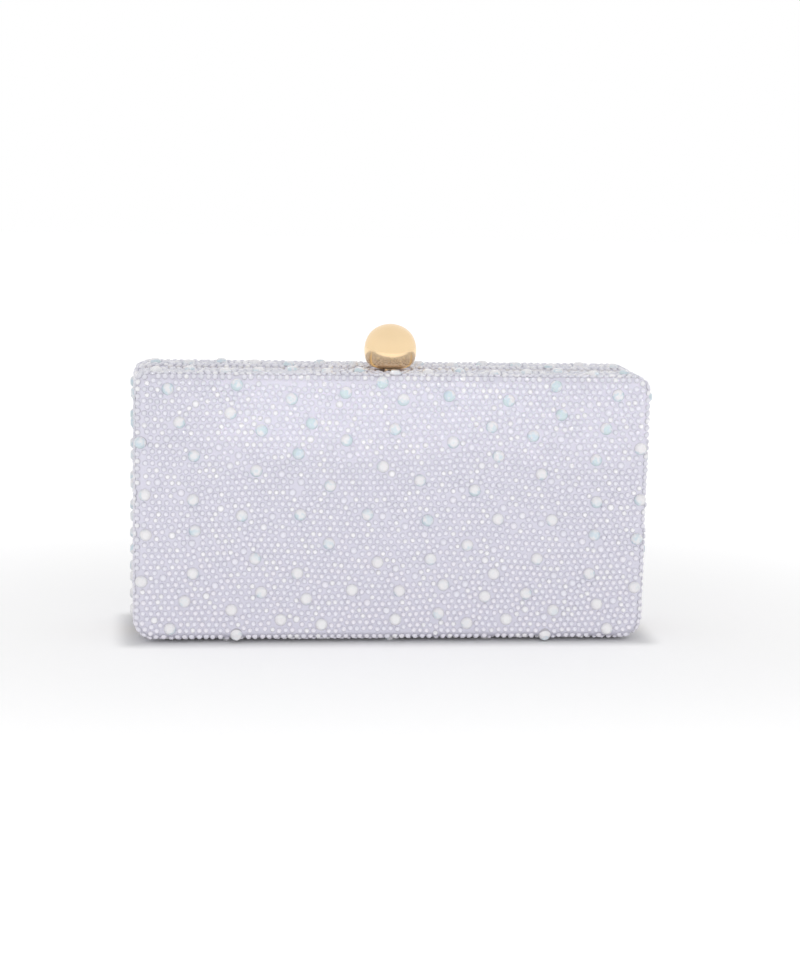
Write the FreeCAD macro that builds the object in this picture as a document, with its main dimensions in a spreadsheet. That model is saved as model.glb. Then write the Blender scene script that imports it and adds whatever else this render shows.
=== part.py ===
# Box clutch in crystal-set satin: two trays hinged along the base and closed by a ball clasp.
# Millimetres. Origin on the resting plane under the middle of the case, X along the width,
# Y from the front to the back, Z up. The front half is on the -Y side of the parting plane.
import FreeCAD, Part
import math
import os
import Sketcher

DIMENSIONS = {
    # case: two filleted trays that meet at the plane Y = 0
    "case_width": 190.0,
    "case_height": 98.0,
    "case_depth": 46.0,
    "top_corner_radius": 5.0,
    "base_corner_radius": 7.0,
    "face_edge_radius": 2.5,
    "rim_edge_radius": 2.0,
    "least_radius": 0.8,
    # layers of a tray, from the satin inwards
    "cover_thickness": 0.6,
    "glue_line": 0.1,
    "shell_wall": 2.2,
    "lining_thickness": 0.8,
    # brass rim frames
    "parting_gap": 0.3,
    "frame_thickness": 2.6,
    "frame_inset": 1.3,
    "frame_width": 2.8,
    "frame_edge_radius": 0.4,
    # large and medium stones
    "large_stone_diameter": 4.7,
    "large_stone_height": 1.9,
    "medium_stone_diameter": 2.9,
    "medium_stone_height": 1.1,
    "medium_stone_spacing": 11.8,
    "stone_margin": 0.4,
    # butt hinges along the base
    "hinge_length": 26.0,
    "knuckle_diameter": 2.6,
    "middle_knuckle_length": 9.4,
    "knuckle_gap": 0.3,
    "hinge_pin_diameter": 1.2,
    "hinge_pin_clearance": 0.05,
    "leaf_thickness": 0.7,
    "leaf_reach": 11.0,
    "leaf_clearance": 0.3,
    "hinge_rivet_spacing": 16.0,
    "hinge_rivet_setback": 6.5,
    # rivets
    "rivet_diameter": 1.6,
    "rivet_head_diameter": 3.0,
    "rivet_head_height": 0.5,
    # ball knob and stem
    "knob_width": 19.7,
    "knob_waist_height": 6.6,
    "knob_crown_height": 9.9,
    "knob_side_radius": 11.0,
    "knob_base_radius": 4.5,
    "knob_shoulder_radius": 8.5,
    "knob_crown_radius": 10.5,
    "knob_lift": 0.8,
    "stem_diameter": 4.0,
    "stem_clearance": 0.4,
    "spigot_diameter": 2.4,
    "knob_spigot_length": 6.0,
    "lever_spigot_length": 2.6,
    # clasp lever, sizes taken from its pivot
    "pivot_drop": 5.5,
    "pivot_pin_diameter": 1.6,
    "pivot_clearance": 0.05,
    "lever_width": 6.0,
    "boss_diameter": 4.6,
    "post_height": 3.9,
    "post_margin": 0.4,
    "arm_reach": 7.2,
    "arm_top": 0.3,
    "arm_depth": 1.8,
    "nose_length": 1.6,
    "nose_rise": 1.3,
    "nose_tip_rise": 0.5,
    "tail_reach": 7.0,
    "tail_top": 0.6,
    "tilt_release_degrees": 6.0,
    "tilt_latch_degrees": 4.0,
    # clasp bracket, spring and keeper
    "plate_thickness": 0.8,
    "ear_clearance": 0.3,
    "ear_diameter": 5.2,
    "bracket_width": 20.0,
    "bracket_front": 3.2,
    "bracket_length": 9.8,
    "ear_root_length": 4.8,
    "ear_root_depth": 1.5,
    "bracket_rivet_spacing": 15.0,
    "bracket_rivet_setback": 4.8,
    "spring_width": 4.0,
    "spring_thickness": 0.4,
    "spring_front": 4.2,
    "spring_run": 7.8,
    "spring_tip": 5.6,
    "spring_gap": 0.1,
    "keeper_width": 12.0,
    "keeper_length": 8.2,
    "keeper_gap": 0.6,
    "catch_clearance": 0.2,
    "keeper_rivet_spacing": 8.0,
    "keeper_rivet_setback": 4.7,
    # cuts run this far past the solid
    "overrun": 1.0,
}

STONE_FACET_COUNT = {"large": 10, "medium": 8}
TABLE_SHARE = 0.55
TOP_STONES = 15
SIDE_STONES = 8
BASE_STONES = 15
WANDER_SHARE = 0.618
CROSS_SHARE = 0.755
MIDWAY_SHARE = 0.5
HINGE_SHARE = 0.29

# Front panel's corners and large stones, as pixels of an 800 x 978 view from slightly left and above.
PANEL_TOP_LEFT_PIXEL = (138, 372)
PANEL_TOP_RIGHT_PIXEL = (649, 377)
PANEL_BASE_LEFT_PIXEL = (137, 636)
PANEL_BASE_RIGHT_PIXEL = (641, 635)
LARGE_STONE_PIXELS = (
    (168, 386), (234, 382), (287, 396), (340, 390), (376, 380), (397, 397), (443, 393), (503, 398),
    (551, 384), (615, 393), (228, 410), (179, 419), (307, 420), (258, 427), (341, 437), (389, 426),
    (486, 424), (557, 412), (603, 426), (142, 439), (193, 452), (294, 450), (253, 467), (377, 463),
    (447, 439), (493, 453), (528, 433), (593, 457), (639, 446), (146, 491), (192, 496), (325, 482),
    (414, 477), (469, 487), (537, 471), (594, 499), (639, 497), (239, 512), (296, 511), (362, 511),
    (422, 517), (493, 516), (548, 517), (147, 531), (194, 527), (324, 540), (462, 542), (592, 532),
    (636, 536), (252, 555), (372, 559), (425, 556), (533, 556), (192, 570), (293, 570), (489, 571),
    (587, 571), (143, 578), (347, 587), (258, 589), (302, 596), (394, 588), (438, 582), (634, 585),
    (480, 594), (522, 591), (184, 598), (229, 607), (595, 602), (277, 617), (317, 622), (390, 617),
    (433, 611), (462, 621), (502, 617), (550, 608), (170, 626), (234, 632), (606, 627), (542, 633),
)

FRONT = -1
REAR = 1
LEFT = -1
RIGHT = 1
HALF_NAMES = {FRONT: "front", REAR: "rear"}
SIDE_NAMES = {LEFT: "left", RIGHT: "right"}
SAME_PLACE = 1e-6
RIGHT_ANGLE = 90.0

doc = FreeCAD.newDocument("crystal_box_clutch")
sheet = doc.addObject("Spreadsheet::Sheet", "dims")
for row, (alias, number) in enumerate(DIMENSIONS.items(), start=1):
    sheet.set(f"A{row}", alias)
    sheet.set(f"B{row}", str(number))
    sheet.setAlias(f"B{row}", alias)
doc.recompute()

# Places that several pieces share, as expressions on the sheet
CASE_BASE = "dims.large_stone_height"
CASE_TOP = f"({CASE_BASE} + dims.case_height)"
HALF_DEPTH = "(dims.case_depth / 2)"
FRAME_FACE = "(dims.parting_gap / 2)"
RIM = f"({FRAME_FACE} + dims.frame_thickness)"
CORE_INSET = "dims.cover_thickness"
SHELL_INSET = f"({CORE_INSET} + dims.glue_line)"
SHELL_INNER = f"({SHELL_INSET} + dims.shell_wall)"
LINING_INSET = f"({SHELL_INNER} + dims.glue_line)"
LINING_INNER = f"({LINING_INSET} + dims.lining_thickness)"
FRAME_INNER = "(dims.frame_inset + dims.frame_width)"
CEILING = f"({CASE_TOP} - {LINING_INNER})"
SHELL_TOP = f"({CASE_TOP} - {SHELL_INSET})"
SHELL_BASE = f"({CASE_BASE} + {SHELL_INSET})"
LEAF_TOP = f"({CASE_BASE} + {SHELL_INNER})"
LEAF_BASE = f"({LEAF_TOP} - dims.leaf_thickness)"
HINGE_Z = f"({LEAF_TOP} - dims.knuckle_diameter / 2)"
LEAF_START = "(dims.knuckle_diameter / 2 + dims.leaf_clearance)"
PIVOT_Z = f"({CEILING} - dims.pivot_drop)"
PLATE_BASE = f"({CEILING} - dims.plate_thickness)"
POST_TOP = f"({PIVOT_Z} + dims.post_height)"
KNOB_BASE = f"({CASE_TOP} + dims.knob_lift)"
KNOB_WAIST = f"({KNOB_BASE} + dims.knob_waist_height)"
TAIL_TOP = f"({PIVOT_Z} + dims.tail_top)"

nodes = {}


def size(expression):
    """A length worked out from the sheet."""
    return float(sheet.evalExpression(expression))


def keep(name, piece):
    """Names a finished sub-part after its node."""
    piece.Label = name
    nodes[name] = piece
    return piece


def span(sign, near, far):
    """Low and high ends of a stretch that runs away from the middle plane on one side."""
    return (near, far) if sign > 0 else (f"-({far})", f"-({near})")


# Solids


def cuboid(name, x_span, y_span, z_span):
    box = doc.addObject("Part::Box", name)
    for side, axis, (low, high) in zip(("Length", "Width", "Height"), "xyz", (x_span, y_span, z_span)):
        box.setExpression(side, f"({high}) - ({low})")
        box.setExpression(f"Placement.Base.{axis}", low)
    return box


def upright_rod(name, x, y, z_span, radius):
    rod = doc.addObject("Part::Cylinder", name)
    rod.setExpression("Radius", radius)
    rod.setExpression("Height", f"({z_span[1]}) - ({z_span[0]})")
    for axis, place in zip("xyz", (x, y, z_span[0])):
        rod.setExpression(f"Placement.Base.{axis}", place)
    return rod


def cross_rod(name, x_span, y, z, radius):
    rod = doc.addObject("Part::Cylinder", name)
    along_x = FreeCAD.Rotation(FreeCAD.Vector(0, 1, 0), RIGHT_ANGLE)
    rod.Placement = FreeCAD.Placement(FreeCAD.Vector(), along_x)
    rod.setExpression("Radius", radius)
    rod.setExpression("Height", f"({x_span[1]}) - ({x_span[0]})")
    for axis, place in zip("xyz", (x_span[0], y, z)):
        rod.setExpression(f"Placement.Base.{axis}", place)
    return rod


def fuse(name, pieces):
    joined = doc.addObject("Part::MultiFuse", name)
    joined.Shapes = pieces
    joined.Refine = True
    return joined


def cut(name, base, tools):
    tool = tools[0] if len(tools) == 1 else fuse(f"{name}_tools", tools)
    result = doc.addObject("Part::Cut", name)
    result.Base = base
    result.Tool = tool
    return result


def group(name, pieces):
    together = doc.addObject("Part::Compound", name)
    together.Links = pieces
    return together


# Sketches


def new_sketch(body, name, role, offset="0"):
    plane = next(item for item in body.Origin.OriginFeatures if item.Role == role)
    sketch = body.newObject("Sketcher::SketchObject", name)
    sketch.AttachmentSupport = (plane, [""])
    sketch.MapMode = "FlatFace"
    sketch.setExpression("AttachmentOffset.Base.z", offset)
    return sketch


def bind(sketch, kind, where, expression):
    """Adds a constraint whose value follows the sheet."""
    index = sketch.addConstraint(Sketcher.Constraint(kind, *where, size(expression)))
    sketch.setExpression(f"Constraints[{index}]", expression)


def tie(sketch, kind, *where):
    sketch.addConstraint(Sketcher.Constraint(kind, *where))


def line(sketch, start, end):
    return sketch.addGeometry(Part.LineSegment(FreeCAD.Vector(*start), FreeCAD.Vector(*end)))


def arc(sketch, centre, radius, start_degrees, end_degrees):
    circle = Part.Circle(FreeCAD.Vector(*centre), FreeCAD.Vector(0, 0, 1), radius)
    return sketch.addGeometry(
        Part.ArcOfCircle(circle, math.radians(start_degrees), math.radians(end_degrees)))


def case_outline(body, name, offset, inset):
    """The case seen from the front, drawn in by an inset: four sides and four corner arcs."""
    sketch = new_sketch(body, name, "XZ_Plane", offset)
    right = f"(dims.case_width / 2 - {inset})"
    base = f"({CASE_BASE} + {inset})"
    top = f"({CASE_TOP} - {inset})"
    base_radius = f"max(dims.base_corner_radius - {inset}; dims.least_radius)"
    top_radius = f"max(dims.top_corner_radius - {inset}; dims.least_radius)"
    x, low, high = size(right), size(base), size(top)
    r_base, r_top = size(base_radius), size(top_radius)
    line(sketch, (r_base - x, low, 0), (x - r_base, low, 0))
    line(sketch, (x, low + r_base, 0), (x, high - r_top, 0))
    line(sketch, (x - r_top, high, 0), (r_top - x, high, 0))
    line(sketch, (-x, high - r_top, 0), (-x, low + r_base, 0))
    arc(sketch, (x - r_base, low + r_base, 0), r_base, -90, 0)
    arc(sketch, (x - r_top, high - r_top, 0), r_top, 0, 90)
    arc(sketch, (r_top - x, high - r_top, 0), r_top, 90, 180)
    arc(sketch, (r_base - x, low + r_base, 0), r_base, 180, 270)
    for side in range(4):
        corner = side + 4
        tie(sketch, "Tangent", side, 2, corner, 1)
        tie(sketch, "Tangent", corner, 2, (side + 1) % 4, 1)
    tie(sketch, "Horizontal", 0)
    tie(sketch, "Vertical", 1)
    tie(sketch, "Horizontal", 2)
    tie(sketch, "Vertical", 3)
    for corner, radius in zip((4, 5, 6, 7), (base_radius, top_radius, top_radius, base_radius)):
        bind(sketch, "Radius", (corner,), radius)
    bind(sketch, "DistanceX", (-1, 1, 1, 1), right)
    bind(sketch, "DistanceX", (-1, 1, 3, 1), f"-{right}")
    bind(sketch, "DistanceY", (-1, 1, 0, 1), base)
    bind(sketch, "DistanceY", (-1, 1, 2, 1), top)
    return sketch


def side_profile(body, name, corners):
    """A straight-sided outline in the YZ plane, each corner bound to the sheet."""
    sketch = new_sketch(body, name, "YZ_Plane")
    points = [(size(y), size(z), 0) for y, z in corners]
    for index, point in enumerate(points):
        line(sketch, point, points[(index + 1) % len(points)])
    for index in range(len(points)):
        tie(sketch, "Coincident", index, 2, (index + 1) % len(points), 1)
    for index, (y, z) in enumerate(corners):
        bind(sketch, "DistanceX", (-1, 1, index, 1), y)
        bind(sketch, "DistanceY", (-1, 1, index, 1), z)
    return sketch


def pad(body, name, sketch, length):
    feature = body.newObject("PartDesign::Pad", name)
    feature.Profile = sketch
    feature.setExpression("Length", length)
    return feature


def pad_across(body, name, sketch, width):
    """Pads a side profile equally to the left and the right."""
    feature = pad(body, name, sketch, width)
    feature.Midplane = True
    return feature


def round_edges(body, base, y, radius):
    """Fillets the edges of a block that lie in the plane of one Y."""
    doc.recompute()
    names = [
        f"Edge{index}"
        for index, edge in enumerate(base.Shape.Edges, start=1)
        if all(abs(vertex.Y - size(y)) < SAME_PLACE for vertex in edge.Vertexes)
    ]
    fillet = body.newObject("PartDesign::Fillet", f"{base.Name}_round")
    fillet.Base = (base, names)
    fillet.setExpression("Radius", radius)
    return fillet


def block(name, sign, inset, near, far, far_radius=None, near_radius=None):
    """A slab with the case's outline, from near to far on one side of the parting plane."""
    body = doc.addObject("PartDesign::Body", name)
    offset = f"-({near})" if sign > 0 else near
    sketch = case_outline(body, f"{name}_outline", offset, inset)
    last = pad(body, f"{name}_pad", sketch, f"({far}) - ({near})")
    last.Reversed = sign > 0
    for y, radius in ((far, far_radius), (near, near_radius)):
        if radius:
            last = round_edges(body, last, f"{sign} * ({y})", radius)
    return body


# Case


def limited(radius, inset):
    """A fillet that follows the outer one, drawn in by an inset."""
    return f"max({radius} - {inset}; dims.least_radius)"


def layer(name, sign, inset, near):
    """Filleted block of one layer of a tray."""
    far = f"({HALF_DEPTH} - {inset})"
    return block(name, sign, inset, near, far,
                 limited("dims.face_edge_radius", inset), limited("dims.rim_edge_radius", inset))


def hollow(name, sign, inset, near):
    """What is taken out of a tray: open through the rim, filleted at the bottom of the tray."""
    far = f"({HALF_DEPTH} - {inset})"
    return block(name, sign, inset, near, far, limited("dims.face_edge_radius", inset))


def stem_slot(name):
    """Slot in the top of the case in which the stem tips."""
    swing = f"({CASE_TOP} - {PIVOT_Z})"
    front = f"-{swing} * sin(dims.tilt_release_degrees * 1 deg)"
    rear = f"{swing} * sin(dims.tilt_latch_degrees * 1 deg)"
    radius = "(dims.stem_diameter / 2 + dims.stem_clearance)"
    heights = (f"{CEILING} - {FRAME_INNER}", f"{CASE_TOP} + dims.overrun")
    return fuse(name, [
        cuboid(f"{name}_middle", (f"-{radius}", radius), (front, rear), heights),
        upright_rod(f"{name}_front_end", "0", front, heights, radius),
        upright_rod(f"{name}_rear_end", "0", rear, heights, radius),
    ])


def hinge_centre(side):
    return f"{side} * {HINGE_SHARE} * dims.case_width"


def hinge_x_span(side, margin):
    centre = hinge_centre(side)
    half = f"(dims.hinge_length / 2 + {margin})"
    return f"{centre} - {half}", f"{centre} + {half}"


def leaf_recesses(name, sign):
    """Pockets in a tray's base that let the hinge leaves in flush."""
    return [
        cuboid(f"{name}_recess_{SIDE_NAMES[side]}", hinge_x_span(side, "dims.glue_line"),
               span(sign, FRAME_FACE, "dims.leaf_reach + dims.glue_line"),
               (LEAF_BASE, f"{LEAF_TOP} + dims.glue_line"))
        for side in (LEFT, RIGHT)
    ]


def make_cover(sign, slot):
    half = HALF_NAMES[sign]
    outer = layer(f"{half}_cover_outside", sign, "0", RIM)
    core = layer(f"{half}_cover_core", sign, CORE_INSET, f"({RIM} + {CORE_INSET})")
    mouth = block(f"{half}_cover_mouth", sign, SHELL_INNER, FRAME_FACE, f"({RIM} + {SHELL_INNER})")
    recesses = leaf_recesses(f"{half}_cover", sign)
    name = f"{half}_cover"
    keep(name, cut(name, outer, [core, mouth, slot] + recesses))


def make_shell(sign, slot, rivets):
    half = HALF_NAMES[sign]
    rim = f"({RIM} + {SHELL_INSET})"
    outer = layer(f"{half}_shell_outside", sign, SHELL_INSET, rim)
    inner = hollow(f"{half}_shell_inside", sign, SHELL_INNER, FRAME_FACE)
    recesses = leaf_recesses(f"{half}_shell", sign)
    name = f"{half}_shell"
    keep(name, cut(name, outer, [inner, slot] + recesses + rivets))


def make_lining(sign, slot, rivets):
    half = HALF_NAMES[sign]
    outer = hollow(f"{half}_lining_outside", sign, LINING_INSET, RIM)
    inner = hollow(f"{half}_lining_inside", sign, LINING_INNER, FRAME_FACE)
    name = f"{half}_lining"
    keep(name, cut(name, outer, [inner, slot] + rivets))


def make_frame(sign, slot):
    """Brass rim frame: two bent strips, notched over the hinges and parted at the stem."""
    half = HALF_NAMES[sign]
    edge = "dims.frame_edge_radius"
    outer = block(f"{half}_frame_outside", sign, "dims.frame_inset", FRAME_FACE, RIM, edge, edge)
    inner = block(f"{half}_frame_inside", sign, FRAME_INNER, "0", f"({RIM} + dims.overrun)")
    through = span(sign, "0", f"{RIM} + dims.overrun")
    for side in (LEFT, RIGHT):
        name = f"{half}_frame_{SIDE_NAMES[side]}"
        notch = cuboid(f"{name}_notch", hinge_x_span(side, "dims.leaf_clearance"), through,
                       (CASE_BASE, f"{LEAF_TOP} + dims.leaf_clearance"))
        other_side = cuboid(f"{name}_end", span(-side, "-dims.glue_line / 2", "dims.case_width / 2"),
                            through, (CASE_BASE, CASE_TOP))
        keep(name, cut(name, outer, [inner, slot, notch, other_side]))


# Hinges


def hinge_rivet(name, x, y):
    """Countersunk rivet: its head is flush with the leaf, its shank ends flush with the shell."""
    head = doc.addObject("Part::Cone", f"{name}_head")
    head.setExpression("Radius1", "dims.rivet_diameter / 2")
    head.setExpression("Radius2", "dims.rivet_head_diameter / 2")
    head.setExpression("Height", "dims.leaf_thickness")
    for axis, place in zip("xyz", (x, y, LEAF_BASE)):
        head.setExpression(f"Placement.Base.{axis}", place)
    shank = upright_rod(f"{name}_shank", x, y, (SHELL_BASE, LEAF_BASE), "dims.rivet_diameter / 2")
    return fuse(name, [head, shank])


def leaf_rivets(sign, side):
    stem = f"{HALF_NAMES[sign]}_{SIDE_NAMES[side]}_leaf_rivet"
    return [
        hinge_rivet(f"{stem}_{number}",
                    f"{hinge_centre(side)} + {step} * dims.hinge_rivet_spacing / 2",
                    f"{sign} * dims.hinge_rivet_setback")
        for number, step in enumerate((-1, 1), start=1)
    ]


def knuckle_spans(sign, side):
    """One middle knuckle on the front leaf, two end knuckles on the rear leaf."""
    centre = hinge_centre(side)
    middle = "dims.middle_knuckle_length / 2"
    if sign == FRONT:
        return [(f"{centre} - {middle}", f"{centre} + {middle}")]
    inner = f"({middle} + dims.knuckle_gap)"
    outer = "dims.hinge_length / 2"
    return [(f"{centre} - {outer}", f"{centre} - {inner}"), (f"{centre} + {inner}", f"{centre} + {outer}")]


def make_hinge_leaf(sign, side, rivets):
    name = f"{HALF_NAMES[sign]}_hinge_leaf_{SIDE_NAMES[side]}"
    plate_z = (LEAF_BASE, LEAF_TOP)
    pieces = [cuboid(f"{name}_plate", hinge_x_span(side, "0"),
                     span(sign, LEAF_START, "dims.leaf_reach"), plate_z)]
    for number, x_span in enumerate(knuckle_spans(sign, side), start=1):
        barrel = "dims.knuckle_diameter / 2"
        pieces.append(cross_rod(f"{name}_knuckle_{number}", x_span, "0", HINGE_Z, barrel))
        pieces.append(cuboid(f"{name}_tongue_{number}", x_span, span(sign, "0", LEAF_START), plate_z))
    bore = cross_rod(f"{name}_bore", hinge_x_span(side, "dims.overrun"), "0", HINGE_Z,
                     "dims.hinge_pin_diameter / 2 + dims.hinge_pin_clearance")
    keep(name, cut(name, fuse(f"{name}_whole", pieces), [bore] + rivets))


def make_hinges():
    """Both hinges, and the rivets of each half, which also pierce its shell."""
    rivets = {}
    for sign in (FRONT, REAR):
        rivets[sign] = []
        for side in (LEFT, RIGHT):
            pair = leaf_rivets(sign, side)
            make_hinge_leaf(sign, side, pair)
            rivets[sign] += pair
        name = f"{HALF_NAMES[sign]}_hinge_rivets"
        keep(name, group(name, rivets[sign]))
    for side in (LEFT, RIGHT):
        name = f"hinge_pin_{SIDE_NAMES[side]}"
        keep(name, cross_rod(name, hinge_x_span(side, "0"), "0", HINGE_Z, "dims.hinge_pin_diameter / 2"))
    return rivets


# Clasp


def plate_rivet(name, x, y, seat):
    """Rivet of a plate under the top: head below the seat, shank up to the shell's outer face."""
    head = upright_rod(f"{name}_head", x, y, (f"{seat} - dims.rivet_head_height", seat),
                       "dims.rivet_head_diameter / 2")
    shank = upright_rod(f"{name}_shank", x, y, (seat, SHELL_TOP), "dims.rivet_diameter / 2")
    return fuse(name, [head, shank])


def plate_rivet_pair(name, spacing, y):
    return [
        plate_rivet(f"{name}_{number}", f"{step} * {spacing} / 2", y, PLATE_BASE)
        for number, step in enumerate((-1, 1), start=1)
    ]


def make_stem():
    """Stem with a spigot at each end: one in the ball, one in the lever's post."""
    spigot = "dims.spigot_diameter / 2"
    knob_end = f"{KNOB_BASE} + dims.knob_spigot_length"
    lever_end = f"{POST_TOP} - dims.lever_spigot_length"
    stem = fuse("ball_stem", [
        upright_rod("stem_shaft", "0", "0", (POST_TOP, KNOB_BASE), "dims.stem_diameter / 2"),
        upright_rod("stem_knob_spigot", "0", "0", (KNOB_BASE, knob_end), spigot),
        upright_rod("stem_lever_spigot", "0", "0", (lever_end, POST_TOP), spigot),
    ])
    return keep("ball_stem", stem)


def knob_profile(body):
    """Half section of the ball: flat seat, base arc, side arc, shoulder arc and crown arc."""
    sketch = new_sketch(body, "knob_profile", "XZ_Plane")
    half = size("dims.knob_width / 2")
    low, waist = size(KNOB_BASE), size(KNOB_WAIST)
    top = waist + size("dims.knob_crown_height")
    side, base = size("dims.knob_side_radius"), size("dims.knob_base_radius")
    shoulder, crown = size("dims.knob_shoulder_radius"), size("dims.knob_crown_radius")
    side_x = half - side
    crown_z = top - crown
    base_turn = math.asin((waist - low - base) / (side - base))
    base_x = side_x + (side - base) * math.cos(base_turn)
    # The shoulder's centre lies where two circles cross, one about each neighbour's centre.
    apart = math.hypot(side_x, crown_z - waist)
    reach_side, reach_crown = side - shoulder, crown - shoulder
    along = (reach_side ** 2 - reach_crown ** 2 + apart ** 2) / (2 * apart)
    across = math.sqrt(reach_side ** 2 - along ** 2)
    step_x, step_z = -side_x / apart, (crown_z - waist) / apart
    shoulder_x = side_x + along * step_x - across * step_z
    shoulder_z = waist + along * step_z + across * step_x
    side_turn = math.degrees(math.atan2(shoulder_z - waist, shoulder_x - side_x))
    crown_turn = math.degrees(math.atan2(shoulder_z - crown_z, shoulder_x))
    base_end = -math.degrees(base_turn)
    line(sketch, (0, low, 0), (base_x, low, 0))
    arc(sketch, (base_x, low + base, 0), base, -RIGHT_ANGLE, base_end)
    arc(sketch, (side_x, waist, 0), side, base_end, side_turn)
    arc(sketch, (shoulder_x, shoulder_z, 0), shoulder, side_turn, crown_turn)
    arc(sketch, (0, crown_z, 0), crown, crown_turn, RIGHT_ANGLE)
    line(sketch, (0, top, 0), (0, low, 0))
    for index in range(4):
        tie(sketch, "Tangent", index, 2, index + 1, 1)
    tie(sketch, "Coincident", 4, 2, 5, 1)
    tie(sketch, "Coincident", 5, 2, 0, 1)
    tie(sketch, "Horizontal", 0)
    tie(sketch, "PointOnObject", 5, 1, -2)
    tie(sketch, "PointOnObject", 5, 2, -2)
    tie(sketch, "PointOnObject", 4, 3, -2)
    bind(sketch, "DistanceY", (-1, 1, 5, 2), KNOB_BASE)
    bind(sketch, "DistanceY", (-1, 1, 5, 1), f"{KNOB_WAIST} + dims.knob_crown_height")
    bind(sketch, "DistanceY", (-1, 1, 2, 3), KNOB_WAIST)
    bind(sketch, "DistanceX", (-1, 1, 2, 3), "dims.knob_width / 2 - dims.knob_side_radius")
    bind(sketch, "Radius", (1,), "dims.knob_base_radius")
    bind(sketch, "Radius", (2,), "dims.knob_side_radius")
    bind(sketch, "Radius", (3,), "dims.knob_shoulder_radius")
    bind(sketch, "Radius", (4,), "dims.knob_crown_radius")
    return sketch


def make_knob(stem):
    body = doc.addObject("PartDesign::Body", "knob_turned")
    sketch = knob_profile(body)
    turned = body.newObject("PartDesign::Revolution", "knob_revolution")
    turned.Profile = sketch
    turned.ReferenceAxis = (sketch, ["V_Axis"])
    keep("ball_knob", cut("ball_knob", body, [stem]))


def make_lever(stem):
    """Rocking lever: a post for the stem, a front arm with the nose, a tail under the spring."""
    body = doc.addObject("PartDesign::Body", "lever_blank")
    post = "(dims.stem_diameter / 2 + dims.post_margin)"
    arm_top = f"{PIVOT_Z} + dims.arm_top"
    arm_base = f"{PIVOT_Z} + dims.arm_top - dims.arm_depth"
    tip = "-(dims.arm_reach + dims.nose_length)"
    profile = side_profile(body, "lever_profile", [
        (tip, arm_base),
        ("dims.tail_reach", arm_base),
        ("dims.tail_reach", TAIL_TOP),
        (post, TAIL_TOP),
        (post, POST_TOP),
        (f"-{post}", POST_TOP),
        (f"-{post}", arm_top),
        ("-dims.arm_reach", arm_top),
        ("-dims.arm_reach", f"{PIVOT_Z} + dims.nose_rise"),
        (tip, f"{PIVOT_Z} + dims.nose_tip_rise"),
    ])
    pad_across(body, "lever_pad", profile, "dims.lever_width")
    half = "dims.lever_width / 2"
    boss = cross_rod("lever_boss", (f"-{half}", half), "0", PIVOT_Z, "dims.boss_diameter / 2")
    bore = cross_rod("lever_bore", (f"-{half} - dims.overrun", f"{half} + dims.overrun"), "0", PIVOT_Z,
                     "dims.pivot_pin_diameter / 2 + dims.pivot_clearance")
    keep("clasp_lever", cut("clasp_lever", fuse("lever_whole", [body, boss]), [bore, stem]))


def ear_x_span(side):
    inner = "(dims.lever_width / 2 + dims.ear_clearance)"
    return span(side, inner, f"({inner} + dims.plate_thickness)")


def make_ear(side):
    """Ear of the bracket: an arm down from the plate with a round end about the pivot."""
    name = f"bracket_ear_{SIDE_NAMES[side]}"
    low, high = ear_x_span(side)
    body = doc.addObject("PartDesign::Body", f"{name}_arm")
    root_end = "dims.bracket_front + dims.ear_root_length"
    corner = "(dims.ear_diameter / 2 * sin(45 deg))"
    profile = side_profile(body, f"{name}_profile", [
        ("dims.bracket_front", CEILING),
        (f"-{corner}", f"{PIVOT_Z} + {corner}"),
        (corner, f"{PIVOT_Z} - {corner}"),
        (root_end, f"{PLATE_BASE} - dims.ear_root_depth"),
        (root_end, CEILING),
    ])
    profile.setExpression("AttachmentOffset.Base.z", low)
    pad(body, f"{name}_pad", profile, "dims.plate_thickness")
    end = cross_rod(f"{name}_end", (low, high), "0", PIVOT_Z, "dims.ear_diameter / 2")
    return [body, end]


def make_bracket(rivets, pin):
    half = "dims.bracket_width / 2"
    plate = cuboid("bracket_plate", (f"-{half}", half),
                   ("dims.bracket_front", "dims.bracket_front + dims.bracket_length"), (PLATE_BASE, CEILING))
    whole = fuse("bracket_whole", [plate] + make_ear(LEFT) + make_ear(RIGHT))
    keep("clasp_bracket", cut("clasp_bracket", whole, rivets + [pin]))


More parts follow.
